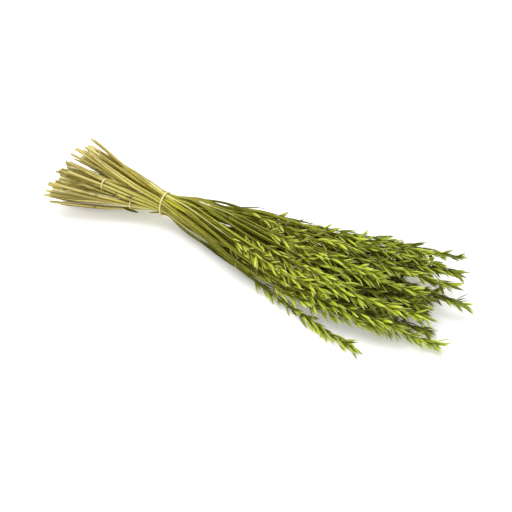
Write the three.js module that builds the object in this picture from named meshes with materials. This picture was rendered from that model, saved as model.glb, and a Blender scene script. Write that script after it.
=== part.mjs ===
// A bundle of dried oat stalks, tied at the neck and lying on a flat surface.
// Frame: +X runs along the bundle from the cut ends to the grain heads, +Z is up, and
// the origin is under the middle of the bundle's box, on the surface that it lies on.
// Inside the bundle's own group, x = 0 is the neck band and z = 0 the surface.
import * as THREE from "three";

// ---------- Driving dimensions, in millimetres ----------

const STALK_COUNT = 50;
const SIDES = 6; // of every section, which stands on a flat side
const STATION_STEP = 50; // between the sections that all the strands share
const STATIONS = Array.from({ length: 17 }, (_, k) => (k - 5) * STATION_STEP);
const NEAR_END = 5; // a station this near to a strand's end has no section of its own
const GAP = 0.3; // left between neighbours

// The bundle's outline, section by section: how far its middle is off the axis, its
// half width, and its lowest and highest point.
const OUTLINE = [
  { x: -250, middle: -4, halfWidth: 102, low: 0, high: 102 },
  { x: -200, middle: -3, halfWidth: 87, low: 0, high: 90 },
  { x: -100, middle: -1, halfWidth: 52, low: 4, high: 65 },
  { x: 0, middle: 4, halfWidth: 18, low: 15, high: 51 },
  { x: 100, middle: -4, halfWidth: 43, low: 4, high: 62 },
  { x: 150, middle: -15, halfWidth: 61, low: 0, high: 63 },
  { x: 230, middle: -30, halfWidth: 79, low: 0, high: 62 },
  { x: 350, middle: -29, halfWidth: 91, low: 0, high: 69 },
  { x: 450, middle: -14, halfWidth: 97, low: 0, high: 70 },
  { x: 550, middle: -4, halfWidth: 92, low: 0, high: 64 },
];

// The culms were cut in one slanting stroke: the higher an end, the shorter it is.
const CUT = { low: -199, high: -166, highEnd: 90, uneven: 9 };
const HEAD_TIP = { from: 322, to: 500 };
const HEAD_LENGTH = { from: 188, to: 232 };
const HEAD_RADIUS = { inside: 5.4, outside: 7.6 };
// Along a head, from its base: the share of its greatest radius.
const HEAD_PROFILE = [
  { at: 0.3, share: 0.9 },
  { at: 0.55, share: 1 },
  { at: 0.85, share: 0.6 },
];
const TIP_RADIUS = 0.8;
const CULM_RADIUS = { atCut: 2.5, atNeck: 1.85, underHead: 1.2 };

// How fast the stalks turn round the axis on each side of the neck, in radians per
// millimetre there, and how much each strays, as a share of the section.
const TWIST = { toCutEnds: 0.018, toHeads: 0.012 };
const STRAY = { toCutEnds: 0.2, toHeads: 0.24 };
const ALL_ASTRAY = 200; // this far from the neck, a stalk has strayed all that it will

// Stalks that leave the bundle: how far each runs, and points that it passes.
const LOOSE_STALKS = [
  {
    tip: 400,
    headLength: 215,
    headRadius: 8,
    route: [
      { x: -200, y: 30, z: 62 },
      { x: 0, y: -11, z: 19 },
      { x: 100, y: -34, z: 11 },
      { x: 160, y: -60, z: 9 },
      { x: 230, y: -91, z: 8 },
      { x: 290, y: -112, z: 8 },
      { x: 350, y: -138, z: 8 },
      { x: 400, y: -149, z: 6 },
    ],
  },
  {
    tip: 345,
    headLength: 180,
    headRadius: 6,
    route: [
      { x: -200, y: -10, z: 20 },
      { x: 0, y: 12, z: 41 },
      { x: 100, y: 17, z: 46 },
      { x: 190, y: 38, z: 45 },
      { x: 345, y: 44, z: 45 },
    ],
  },
  {
    tip: 490,
    headLength: 215,
    headRadius: 7.5,
    route: [
      { x: -200, y: -30, z: 60 },
      { x: 0, y: 6, z: 44 },
      { x: 200, y: 30, z: 50 },
      { x: 400, y: 54, z: 50 },
      { x: 500, y: 79, z: 45 },
    ],
  },
  {
    tip: 524,
    headLength: 205,
    headRadius: 7.5,
    route: [
      { x: -200, y: 10, z: 30 },
      { x: 0, y: -3, z: 24 },
      { x: 200, y: -14, z: 30 },
      { x: 400, y: -4, z: 38 },
      { x: 530, y: 0, z: 20 },
    ],
  },
  {
    tip: 512,
    headLength: 210,
    headRadius: 7.5,
    route: [
      { x: -200, y: 50, z: 40 },
      { x: 0, y: -10, z: 34 },
      { x: 200, y: -64, z: 30 },
      { x: 400, y: -92, z: 20 },
      { x: 520, y: -82, z: 10 },
    ],
  },
];

// Leaf blades: half the width, the turn of the blade's flat side, and the route.
const LEAF_HALF_THICKNESS = 0.5;
const LEAF_END = 0.3; // of a leaf's width is left at its ends
const LEAVES = [
  {
    halfWidth: 2.5,
    roll: 0.2,
    route: [
      { x: -6, y: 1, z: 50 },
      { x: 0, y: 0, z: 50 },
      { x: 50, y: -19, z: 47 },
    ],
  },
  {
    halfWidth: 2.7,
    roll: 0.25,
    route: [
      { x: -14, y: 13, z: 46 },
      { x: 0, y: 13, z: 46 },
      { x: 50, y: 11, z: 48 },
      { x: 112, y: 24, z: 50 },
    ],
  },
  {
    halfWidth: 2.7,
    roll: 0.1,
    route: [
      { x: -8, y: 19, z: 38 },
      { x: 50, y: 21, z: 44 },
      { x: 100, y: 29, z: 45 },
      { x: 240, y: 54, z: 45 },
    ],
  },
  {
    halfWidth: 2.4,
    roll: 0.8,
    route: [
      { x: -24, y: -14, z: 20 },
      { x: 0, y: -14, z: 20 },
      { x: 66, y: -22, z: 16 },
    ],
  },
  {
    halfWidth: 3.2,
    roll: 0.7,
    route: [
      { x: 82, y: -30, z: 18 },
      { x: 150, y: -54, z: 18 },
      { x: 222, y: -92, z: 16 },
    ],
  },
  {
    halfWidth: 2.2,
    roll: 0.5,
    route: [
      { x: -66, y: -27, z: 15 },
      { x: -50, y: -26, z: 14 },
      { x: -38, y: -22, z: 15 },
    ],
  },
];

// Bands: where each is, and round how many of the strands nearest a point there.
const BAND = { thickness: 1.1, width: 1.8, corners: 36, clearance: 0.4 };
const BANDS = [
  { name: "neck_band", x: 0, radius: 18.4, count: Infinity, y: 4, z: 33 },
  { name: "inner_band", x: -50, radius: 7.6, count: 8, y: -22, z: 27 },
  { name: "outer_band", x: -100, radius: 7.9, count: 6, y: -42, z: 46 },
];

// Settling: the passes, and the shares taken in the first of them.
const PASSES = 2500;
const EASED_PASSES = 900;
const EASE = { bend: 0.2, home: 0.04, outline: 0.3 };
const SETTLED = 0.03;
const LAID_DOWN = 3; // a strand this near to the surface lies on it

// ---------- Helpers ----------

const { lerp, clamp } = THREE.MathUtils;
const AXIS = new THREE.Vector2();
const FLAT_SHARE = Math.cos(Math.PI / SIDES); // of the radius, down to a flat side

/** A repeatable source of numbers from 0 to 1. */
function randomSource(seed) {
  let state = seed;
  return () => {
    state = (state + 0x6d2b79f5) | 0;
    let t = Math.imul(state ^ (state >>> 15), 1 | state);
    t = (t + Math.imul(t ^ (t >>> 7), 61 | t)) ^ t;
    return ((t ^ (t >>> 14)) >>> 0) / 4294967296;
  };
}

const random = randomSource(11);
const within = ({ from, to }) => lerp(from, to, random());

/** The value at x on straight lines through a table's rows. */
function alongTable(rows, x, key) {
  const next = rows.findIndex((row) => row.x >= x);
  if (next === 0) return rows[0][key];
  if (next === -1) return rows.at(-1)[key];
  const [a, b] = [rows[next - 1], rows[next]];
  return lerp(a[key], b[key], (x - a.x) / (b.x - a.x));
}

/** The bundle's outline at x, as the ellipse that fills it. */
function sectionAt(x) {
  const low = alongTable(OUTLINE, x, "low");
  const high = alongTable(OUTLINE, x, "high");
  return {
    middle: new THREE.Vector2(alongTable(OUTLINE, x, "middle"), (low + high) / 2),
    halfWidth: alongTable(OUTLINE, x, "halfWidth"),
    halfHeight: (high - low) / 2,
  };
}

/** A random point in a disc. */
function strayInDisc(radius) {
  const angle = 2 * Math.PI * random();
  const reach = radius * Math.sqrt(random());
  return new THREE.Vector2(reach * Math.cos(angle), reach * Math.sin(angle));
}

// ---------- The strands before they settle ----------
// A strand is a stalk or a leaf. Its places are Vector2(y, z), one at each station.

function makeStrand({ name, from, to, places, radiusAt, bound }) {
  const radii = STATIONS.map((x) => radiusAt(clamp(x, from, to)));
  return { name, from, to, places, home: places.map((p) => p.clone()), radii, radiusAt, bound };
}

/** Does a strand have any of its length between stations k and k + 1? */
function spans({ from, to }, k) {
  return from < STATIONS[k + 1] && to > STATIONS[k];
}

/** The radius at any x of a stalk: its culm, then its grain head. */
function stalkRadius(cut, tip, headLength, headRadius) {
  const base = tip - headLength;
  const rows = [
    { x: cut, radius: CULM_RADIUS.atCut },
    { x: 0, radius: CULM_RADIUS.atNeck },
    { x: base, radius: CULM_RADIUS.underHead },
    ...HEAD_PROFILE.map(({ at, share }) => ({
      x: base + at * headLength,
      radius: share * headRadius,
    })),
    { x: tip, radius: TIP_RADIUS },
  ];
  return (x) => alongTable(rows, x, "radius");
}

function stalkName(number) {
  return `stalk_${String(number).padStart(2, "0")}`;
}

/** Where the stroke cut a stalk, from how high its end lies. */
function cutAt(height) {
  const share = clamp(height / CUT.highEnd, 0, 1);
  return lerp(CUT.low, CUT.high, share) + CUT.uneven * (2 * random() - 1);
}

/** One of the stalks that keep an even place in the bundle while all turn. */
function bundledStalk(i, count) {
  const goldenAngle = Math.PI * (3 - Math.sqrt(5));
  const reach = Math.sqrt((i + 0.5) / count);
  const place = new THREE.Vector2(reach, 0).rotateAround(AXIS, i * goldenAngle);
  const stray = {
    toCutEnds: strayInDisc(STRAY.toCutEnds),
    toHeads: strayInDisc(STRAY.toHeads),
  };
  const places = STATIONS.map((x) => {
    const side = x < 0 ? "toCutEnds" : "toHeads";
    const spread = Math.min(1, Math.abs(x) / ALL_ASTRAY);
    const turned = place.clone().rotateAround(AXIS, Math.atan(TWIST[side] * x));
    const { middle, halfWidth, halfHeight } = sectionAt(x);
    const off = turned.addScaledVector(stray[side], spread).clampLength(0, 1);
    return off.multiply(new THREE.Vector2(halfWidth, halfHeight)).add(middle);
  });
  const tip = within(HEAD_TIP);
  const headRadius = lerp(HEAD_RADIUS.inside, HEAD_RADIUS.outside, reach ** 2);
  const cut = cutAt(places[0].y);
  return makeStrand({
    name: stalkName(i + 1),
    from: cut,
    to: tip,
    places,
    radiusAt: stalkRadius(cut, tip, within(HEAD_LENGTH), headRadius),
    bound: true,
  });
}

function placesOnRoute(route) {
  return STATIONS.map(
    (x) => new THREE.Vector2(alongTable(route, x, "y"), alongTable(route, x, "z")),
  );
}

function looseStalk({ tip, headLength, headRadius, route }, number) {
  const places = placesOnRoute(route);
  const cut = cutAt(places[0].y);
  return makeStrand({
    name: stalkName(number),
    from: cut,
    to: tip,
    places,
    radiusAt: stalkRadius(cut, tip, headLength, headRadius),
    bound: false,
  });
}

function leafStrand({ halfWidth, roll, route }, i) {
  return {
    ...makeStrand({
      name: `leaf_${i + 1}`,
      from: route[0].x,
      to: route.at(-1).x,
      places: placesOnRoute(route),
      radiusAt: () => halfWidth + GAP / 2,
      bound: false,
    }),
    halfWidth,
    roll,
  };
}

// ---------- Settling: strands bend round each other until none overlaps ----------

/** Takes a share of the kink out of each strand at each station. */
function straighten(strands, share) {
  for (const { places } of strands)
    for (let k = 1; k < places.length - 1; k++) {
      const middle = places[k - 1].clone().lerp(places[k + 1], 0.5);
      places[k].lerp(middle, share);
    }
}

/** Draws each strand back to the places that it started from. */
function drawHome(strands, share) {
  for (const { places, home } of strands)
    places.forEach((place, k) => {
      place.lerp(home[k], share);
    });
}

/** Brings back a bundled strand that is outside the bundle's outline. */
function keepInOutline(strands, share) {
  STATIONS.forEach((x, k) => {
    const { middle, halfWidth, halfHeight } = sectionAt(x);
    for (const { places, radii, bound } of strands) {
      if (!bound) continue;
      const off = places[k].clone().sub(middle);
      const reach = Math.hypot(off.x / (halfWidth - radii[k]), off.y / (halfHeight - radii[k]));
      if (reach > 1) places[k].lerp(middle, share * (1 - 1 / reach));
    }
  });
}

/** Keeps each strand off the surface, and lays down what is nearly on it. */
function restOnSurface(strands) {
  for (const { places, radii } of strands)
    places.forEach((place, k) => {
      const lowest = FLAT_SHARE * radii[k];
      if (place.y < lowest + LAID_DOWN) place.y = lowest;
    });
}

/** Gathers each band's strands inside it, and keeps the others outside. */
function holdBands(strands, bands) {
  for (const { station: k, radius, members } of bands) {
    const middle = new THREE.Vector2();
    for (const { places } of members) middle.addScaledVector(places[k], 1 / members.length);
    const outer = radius + BAND.thickness + 2 * BAND.clearance;
    for (const strand of strands) {
      const off = strand.places[k].clone().sub(middle);
      if (members.includes(strand)) off.clampLength(0, radius - strand.radii[k]);
      else if (spans(strand, k) || spans(strand, k - 1))
        off.clampLength(outer + strand.radii[k], Infinity);
      strand.places[k].copy(middle).add(off);
    }
  }
}

/** Moves two strands apart where they are too near between stations k and k + 1. */
function partPair(one, other, k) {
  const start = one.places[k].clone().sub(other.places[k]);
  const change = one.places[k + 1].clone().sub(other.places[k + 1]).sub(start);
  const nearest = clamp(-start.dot(change) / (change.lengthSq() + Number.EPSILON), 0, 1);
  let worst = 0;
  for (const share of [0, 0.5, nearest]) {
    const apart = start.clone().addScaledVector(change, share);
    const needed =
      lerp(one.radii[k], one.radii[k + 1], share) +
      lerp(other.radii[k], other.radii[k + 1], share) +
      GAP;
    const short = needed - apart.length();
    if (short <= 0) continue;
    worst = Math.max(worst, short);
    const push = apart.setLength(short / 2 / ((1 - share) ** 2 + share ** 2));
    one.places[k].addScaledVector(push, 1 - share);
    one.places[k + 1].addScaledVector(push, share);
    other.places[k].addScaledVector(push, share - 1);
    other.places[k + 1].addScaledVector(push, -share);
    start.addScaledVector(push, 2 * (1 - share));
    change.addScaledVector(push, 2 * (2 * share - 1));
  }
  return worst;
}

function partAll(strands) {
  let worst = 0;
  for (let k = 0; k < STATIONS.length - 1; k++) {
    const here = strands.filter((strand) => spans(strand, k));
    here.forEach((one, i) => {
      for (const other of here.slice(i + 1)) worst = Math.max(worst, partPair(one, other, k));
    });
  }
  return worst;
}

function settle(strands, bands) {
  for (let pass = 0; pass < PASSES; pass++) {
    const ease = Math.max(0, 1 - pass / EASED_PASSES);
    straighten(strands, EASE.bend * ease);
    drawHome(strands, EASE.home * ease);
    keepInOutline(strands, EASE.outline * ease);
    const worst = partAll(strands);
    holdBands(strands, bands);
    restOnSurface(strands);
    if (ease === 0 && worst < SETTLED) return;
  }
}

/** Picks each band's strands: those nearest its point that no other small band has. */
function chooseMembers(strands) {
  const taken = new Set();
  return BANDS.map((band) => {
    const station = STATIONS.indexOf(band.x);
    const point = new THREE.Vector2(band.y, band.z);
    const members = strands
      .filter((strand) => spans(strand, station) && spans(strand, station - 1))
      .filter((strand) => band.count === Infinity || !taken.has(strand))
      .sort((a, b) => a.places[station].distanceTo(point) - b.places[station].distanceTo(point))
      .slice(0, band.count);
    if (band.count !== Infinity) for (const member of members) taken.add(member);
    return { ...band, station, members };
  });
}

// ---------- Solids ----------

/** A closed body through rings of SIDES corners: x, y, z, across, upright and roll. */
function bodyThrough(rings) {
  const profile = [
    new THREE.Vector2(0, 0),
    ...rings.map((_, j) => new THREE.Vector2(1, j)),
    new THREE.Vector2(0, rings.length - 1),
  ];
  const geometry = new THREE.LatheGeometry(profile, SIDES);
  const position = geometry.attributes.position;
  for (let i = 0; i < position.count; i++) {
    const ring = rings[clamp((i % profile.length) - 1, 0, rings.length - 1)];
    const corner = new THREE.Vector2(
      position.getZ(i) * ring.across,
      position.getX(i) * ring.upright,
    ).rotateAround(AXIS, ring.roll);
    position.setXYZ(i, ring.x, ring.y + corner.x, ring.z + corner.y);
  }
  return geometry;
}

/** Where a strand's middle is at x, on straight lines between its stations. */
function placeAt({ places }, x) {
  const k = clamp(Math.floor((x - STATIONS[0]) / STATION_STEP), 0, STATIONS.length - 2);
  return places[k].clone().lerp(places[k + 1], (x - STATIONS[k]) / STATION_STEP);
}

function namedMesh(name, geometry, material) {
  const mesh = new THREE.Mesh(geometry, material);
  mesh.name = name;
  return mesh;
}

function stalkMesh(stalk) {
  const { from, to } = stalk;
  const inner = STATIONS.filter((x) => x > from + NEAR_END && x < to - NEAR_END);
  const rings = [from, ...inner, to].map((x) => {
    const { x: y, y: z } = placeAt(stalk, x);
    const radius = stalk.radiusAt(x);
    return { x, y, z, across: radius, upright: radius, roll: 0 };
  });
  return namedMesh(stalk.name, bodyThrough(rings), straw);
}

/** A long blade that narrows to both ends. */
function leafMesh(leaf) {
  const { from, to } = leaf;
  const inner = STATIONS.flatMap((x) => [x, x + STATION_STEP / 2]);
  const kept = inner.filter((x) => x > from + NEAR_END && x < to - NEAR_END);
  const rings = [from, ...kept, to].map((x) => {
    const { x: y, y: z } = placeAt(leaf, x);
    const taper = lerp(LEAF_END, 1, Math.sin((Math.PI * (x - from)) / (to - from)));
    return {
      x,
      y,
      z,
      across: leaf.halfWidth * taper,
      upright: LEAF_HALF_THICKNESS,
      roll: leaf.roll,
    };
  });
  return namedMesh(leaf.name, bodyThrough(rings), blade);
}

/** The loop that a band makes round its strands, this far off their surfaces. */
function bandLoop({ x, members }, offset) {
  const sections = [x - BAND.width / 2, x, x + BAND.width / 2];
  return Array.from({ length: BAND.corners }, (_, j) => {
    const outward = new THREE.Vector2(1, 0).rotateAround(AXIS, (2 * Math.PI * j) / BAND.corners);
    const points = members.flatMap((member) =>
      sections.map((section) =>
        placeAt(member, section).addScaledVector(outward, member.radiusAt(section) + offset),
      ),
    );
    return points.reduce((best, point) => (point.dot(outward) > best.dot(outward) ? point : best));
  });
}

function bandMesh(band) {
  const shape = new THREE.Shape(bandLoop(band, BAND.clearance + BAND.thickness));
  shape.holes.push(new THREE.Path(bandLoop(band, BAND.clearance)));
  const geometry = new THREE.ExtrudeGeometry(shape, { depth: BAND.width, bevelEnabled: false });
  // The shape was drawn in (y, z): turn its x, y and depth into y, z and x.
  geometry.applyMatrix4(
    new THREE.Matrix4().makeBasis(
      new THREE.Vector3(0, 1, 0),
      new THREE.Vector3(0, 0, 1),
      new THREE.Vector3(1, 0, 0),
    ),
  );
  geometry.translate(band.x - BAND.width / 2, 0, 0);
  return namedMesh(band.name, geometry, elastic);
}

// ---------- The bundle ----------

const straw = new THREE.MeshStandardMaterial({ color: 0x9da63f, roughness: 0.75 });
const blade = new THREE.MeshStandardMaterial({ color: 0x5c7021, roughness: 0.7 });
const elastic = new THREE.MeshStandardMaterial({ color: 0xe2d9a0, roughness: 0.6 });

const bundledCount = STALK_COUNT - LOOSE_STALKS.length;
const stalks = [
  ...Array.from({ length: bundledCount }, (_, i) => bundledStalk(i, bundledCount)),
  ...LOOSE_STALKS.map((loose, i) => looseStalk(loose, bundledCount + i + 1)),
];
const leaves = LEAVES.map(leafStrand);
const strands = [...stalks, ...leaves];
const bands = chooseMembers(strands);
settle(strands, bands);

const bundle = new THREE.Group();
bundle.add(...stalks.map(stalkMesh), ...leaves.map(leafMesh), ...bands.map(bandMesh));

// The origin goes under the middle of the box.
const box = new THREE.Box3().setFromObject(bundle);
const middle = box.getCenter(new THREE.Vector3());
bundle.position.set(-middle.x, -middle.y, -box.min.z);

export default bundle;
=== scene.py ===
"""Looks for a bunch of dried oat stalks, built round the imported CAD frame.

Lengths are in millimetres until mesh_object() turns them into metres. Each stalk is one
piece: a hollow straw, the strips of sheath and blade that hang on it, the thin axis of its
grain head, and spikelets on fine branches.
"""

import math

import bpy
import numpy as np
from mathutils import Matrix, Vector


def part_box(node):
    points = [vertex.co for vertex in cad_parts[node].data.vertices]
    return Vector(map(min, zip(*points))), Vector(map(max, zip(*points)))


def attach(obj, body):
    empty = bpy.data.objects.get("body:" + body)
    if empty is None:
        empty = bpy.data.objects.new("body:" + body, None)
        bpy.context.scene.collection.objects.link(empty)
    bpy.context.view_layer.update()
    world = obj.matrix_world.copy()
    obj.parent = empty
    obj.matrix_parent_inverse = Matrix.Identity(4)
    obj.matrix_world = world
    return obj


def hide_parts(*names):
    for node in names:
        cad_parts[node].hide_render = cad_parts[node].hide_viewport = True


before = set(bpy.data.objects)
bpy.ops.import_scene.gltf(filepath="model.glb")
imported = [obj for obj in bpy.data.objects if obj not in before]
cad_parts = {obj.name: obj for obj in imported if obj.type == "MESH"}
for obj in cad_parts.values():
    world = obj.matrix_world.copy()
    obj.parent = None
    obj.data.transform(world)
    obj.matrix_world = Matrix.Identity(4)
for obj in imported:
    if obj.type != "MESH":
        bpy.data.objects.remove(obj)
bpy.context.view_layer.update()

MM = 0.001
UP = np.array([0.0, 0.0, 1.0])
SEED = 41
TINY = 1e-9
STRAW, GLUME, FLORET, SHRED = range(4)  # a stalk's material slots
BANDS = ("neck_band", "inner_band", "outer_band")
FLOOR_SOFTNESS = 2.0  # what would sink in the floor is pressed into this much height
SHARP_ANGLE = math.radians(48)  # edges that turn more than this stay sharp

# ---------- Reading the frame ----------

SECTION_GAP = 1.0  # a strand's sections stand further apart than this
NEARBY = 1.0  # how far to each side a route's direction is measured


def rings_of(node):
    """A CAD strand's sections: their corners, one array for each section."""
    points = np.array([v.co for v in node.data.vertices]) / MM
    points = np.unique(points.round(3), axis=0)
    breaks = np.where(np.diff(points[:, 0]) > SECTION_GAP)[0] + 1
    return np.split(points, breaks)


class Route:
    """A smooth line through a strand's sections, as places for each x."""

    def __init__(self, rings):
        self.middles = np.array([(r.min(0) + r.max(0)) / 2 for r in rings])
        self.radii = np.array([np.ptp(r[:, 1]) / 2 for r in rings])
        self.x = self.middles[:, 0]
        self.slopes = np.gradient(self.middles, self.x, axis=0)

    def at(self, x):
        """The points at each x, on cubic stretches between the sections."""
        x = np.atleast_1d(x)
        k = np.clip(np.searchsorted(self.x, x) - 1, 0, len(self.x) - 2)
        step = (self.x[k + 1] - self.x[k])[:, None]
        t = (x - self.x[k])[:, None] / step
        a, b = self.middles[k], self.middles[k + 1]
        va, vb = self.slopes[k] * step, self.slopes[k + 1] * step
        inside = (2 * t**3 - 3 * t**2 + 1) * a + (t**3 - 2 * t**2 + t) * va
        inside += (3 * t**2 - 2 * t**3) * b + (t**3 - t**2) * vb
        past = b + vb * (t - 1)
        return np.where(t > 1, past, inside)

    def radius(self, x):
        return np.interp(x, self.x, self.radii)

    def frame_at(self, x):
        """Unit vectors along, to the side and upwards, for each x."""
        ahead = self.at(np.asarray(x) + NEARBY) - self.at(np.asarray(x) - NEARBY)
        return frame_along(ahead)


def unit(v):
    return v / np.maximum(np.linalg.norm(v, axis=-1, keepdims=True), TINY)


def frame_along(ahead):
    """Unit vectors along, sideways and upwards for directions that aren't vertical."""
    along = unit(np.atleast_2d(ahead))
    side = unit(np.cross(UP, along))
    return along, side, np.cross(along, side)


# How crowded a place is, from the stalks round it, for the painted shade that darkens spikelets
# deep in the bunch
CROWD_REACH = 42.0
CROWD_STEP = 10.0
CROWD_SOFTNESS = 2.0  # stalks nearer than this hardly say which side is open
ONE_SIDED = 1.5  # how much it opens a place that its neighbours are all on one side
LEAST_WEIGHT = 1e-6  # stands in for the weight of no neighbours
FULL_CROWD = 2.0  # neighbours, weighted by nearness, that close a place in


class Crowd:
    """Where all the stalks pass, to tell how open to the light a place among them is, so that
    spikelets in crowded places get painted shade.
    """

    def __init__(self, routes):
        low = min(route.x[0] for route in routes)
        high = max(route.x[-1] for route in routes)
        self.low = low
        self.places = []
        for x in np.arange(low, high + CROWD_STEP, CROWD_STEP):
            here = [r.at(x)[0][1:] for r in routes if r.x[0] <= x <= r.x[-1]]
            self.places.append(np.array(here).reshape(-1, 2))

    def openness(self, point):
        """1 at the outside of the bunch, near 0 in its middle."""
        k = int(np.clip((point[0] - self.low) / CROWD_STEP, 0, len(self.places) - 1))
        away = point[1:] - self.places[k]
        reach = np.linalg.norm(away, axis=1)
        weight = np.clip(1 - reach / CROWD_REACH, 0, 1)
        total = weight.sum() + LEAST_WEIGHT
        pull = away / (reach[:, None] + CROWD_SOFTNESS) * weight[:, None]
        lean = np.linalg.norm(pull.sum(0)) / total
        return float(np.clip(max(ONE_SIDED * lean, 1 - total / FULL_CROWD), 0, 1))


# ---------- Meshes from arrays ----------


class Batch:
    """Vertices with attributes, and faces with a material, gathered for one mesh."""

    def __init__(self):
        self.points, self.marks, self.loops, self.sizes, self.kinds = [], [], [], [], []
        self.count = 0

    def add(self, points, faces, kind, along=0.0, across=0.0, shade=0.0):
        """faces is a list of index rows, each an array with as many columns as corners."""
        n = len(points)
        marks = np.empty((n, 3), np.float32)
        marks[:, 0], marks[:, 1], marks[:, 2] = along, across, shade
        self.points.append(points)
        self.marks.append(marks)
        for rows in faces:
            self.loops.append((rows + self.count).ravel())
            self.sizes.append(np.full(len(rows), rows.shape[1]))
            self.kinds.append(np.full(len(rows), kind))
        self.count += n


def mesh_object(name, batch, materials):
    """One object in metres from a batch, with its attributes and materials."""
    points = np.concatenate(batch.points)
    low = points[:, 2] < FLOOR_SOFTNESS
    points[low, 2] = FLOOR_SOFTNESS * np.exp(points[low, 2] / FLOOR_SOFTNESS - 1)
    loops, sizes = np.concatenate(batch.loops), np.concatenate(batch.sizes)
    mesh = bpy.data.meshes.new(name)
    mesh.vertices.add(len(points))
    mesh.vertices.foreach_set("co", (points * MM).astype(np.float32).ravel())
    mesh.loops.add(len(loops))
    mesh.loops.foreach_set("vertex_index", loops.astype(np.int32))
    mesh.polygons.add(len(sizes))
    starts = np.concatenate([[0], np.cumsum(sizes)[:-1]])
    mesh.polygons.foreach_set("loop_start", starts.astype(np.int32))
    mesh.polygons.foreach_set("material_index", np.concatenate(batch.kinds).astype(np.int32))
    marks = np.concatenate(batch.marks)
    for column, attribute in enumerate(("along", "across", "shade")):
        layer = mesh.attributes.new(attribute, "FLOAT", "POINT")
        layer.data.foreach_set("value", np.ascontiguousarray(marks[:, column]))
    mesh.update(calc_edges=True)
    mesh.validate()
    for material in materials:
        mesh.materials.append(material)
    mesh.polygons.foreach_set("use_smooth", np.ones(len(mesh.polygons), bool))
    mesh.set_sharp_from_angle(angle=SHARP_ANGLE)
    made = bpy.data.objects.new(name, mesh)
    bpy.context.scene.collection.objects.link(made)
    return made


def grid_faces(rings, sides):
    """Quads between rings of corners, and the fans that close both ends."""
    i = np.arange(rings - 1)[:, None] * sides
    j = np.arange(sides)[None, :]
    k = (j + 1) % sides
    quads = np.stack([i + j, i + k, i + sides + k, i + sides + j], axis=-1).reshape(-1, 4)
    first = np.arange(sides)[::-1][None, :]
    last = (rings - 1) * sides + np.arange(sides)[None, :]
    return [quads, first, last]


LEAN_TURN = 0.7  # where round a ring its slant is steepest, in radians


def tube(middles, frames, radii, sides, lean=None, flat=1.0):
    """The corners of a tube's rings. lean slants a ring, and flat is its height for its width."""
    along, side, up = frames
    angle = 2 * np.pi * np.arange(sides) / sides
    across = np.cos(angle)[None, :, None] * side[:, None, :]
    height = np.sin(angle)[None, :, None] * up[:, None, :] * flat
    corners = (across + height) * np.asarray(radii)[:, None, None]
    if lean is not None:
        shift = np.asarray(lean)[:, None] * np.sin(angle + LEAN_TURN)[None, :]
        corners = corners + (shift * np.asarray(radii)[:, None])[:, :, None] * along[:, None, :]
    return (middles[:, None, :] + corners).reshape(-1, 3)


# ---------- The straw ----------

STRAW_SIDES = 10
STRAW_STEP = 12.0  # between plain rings
RING_ROOM = 4.0  # between a plain ring and one of a joint, at least
BARE_SHARE = 0.9  # a bare straw's radius, as a share of its CAD solid's
SHEATH_SHARE = 1.02  # the same where the leaf sheath wraps it
STRAW_FLATNESS = (0.82, 1.0)
CUT_SLANT = 0.7  # of a cut end, for its radius
HOLE_SHARE = 0.62  # of a cut end's radius
HOLE_NARROWING = 0.9  # of the hole's radius, at its bottom
HOLE_DEPTH = 9.0
HOLE_PAINTED_SHADE = [1.0, 0.5, 0.1]  # painted shade in the cut end's hole: at its bottom, its rim and the straw's edge

FIRST_JOINT = (30, 120)  # from the cut end
SHEATH_LENGTH = (90, 150)
BARE_LENGTH = (50, 120)  # from a sheath's end to the next joint
JOINT_TO_HEAD = 60
SHEATH_TO_HEAD = 12
# Rings from a joint on: how far past it, the radius share and the darkness.
JOINT_RINGS = [
    (-3.0, BARE_SHARE, 0.15),
    (-1.2, 1.06, 0.8),
    (0.3, 1.1, 1.0),
    (1.8, 1.0, 0.35),
    (5.0, SHEATH_SHARE, 0.0),
]
SHEATH_END_RINGS = [(0.0, SHEATH_SHARE, 0.0), (0.8, BARE_SHARE, 0.2)]

AXIS_START = 8.0  # of the head's thin axis, past the straw
AXIS_STEP = 11.0
AXIS_RADIUS = {"base": 0.95, "tip": 0.35}


def rings_from(place, rings):
    """Rings that are given from a place, moved to it."""
    return [(place + offset, share, dark) for offset, share, dark in rings]


def straw_rings(cut, end, random):
    """The x, radius share and darkness of each ring from the cut end to the head."""
    joint = cut + random.uniform(*FIRST_JOINT)
    rings = []
    while joint < end - JOINT_TO_HEAD:
        sheath_end = min(joint + random.uniform(*SHEATH_LENGTH), end - SHEATH_TO_HEAD)
        rings += rings_from(joint, JOINT_RINGS) + rings_from(sheath_end, SHEATH_END_RINGS)
        joint = sheath_end + random.uniform(*BARE_LENGTH)
    marks = np.array(rings)
    plain = np.arange(cut + RING_ROOM, end, STRAW_STEP)
    plain = plain[np.abs(plain[:, None] - marks[None, :, 0]).min(1) > RING_ROOM]
    xs = np.sort(np.concatenate([[cut], plain, marks[:, 0], [end]]))
    shares = np.interp(xs, marks[:, 0], marks[:, 1], left=BARE_SHARE, right=BARE_SHARE)
    dark = np.interp(xs, marks[:, 0], marks[:, 2], left=0, right=0)
    return xs, shares, dark


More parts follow.
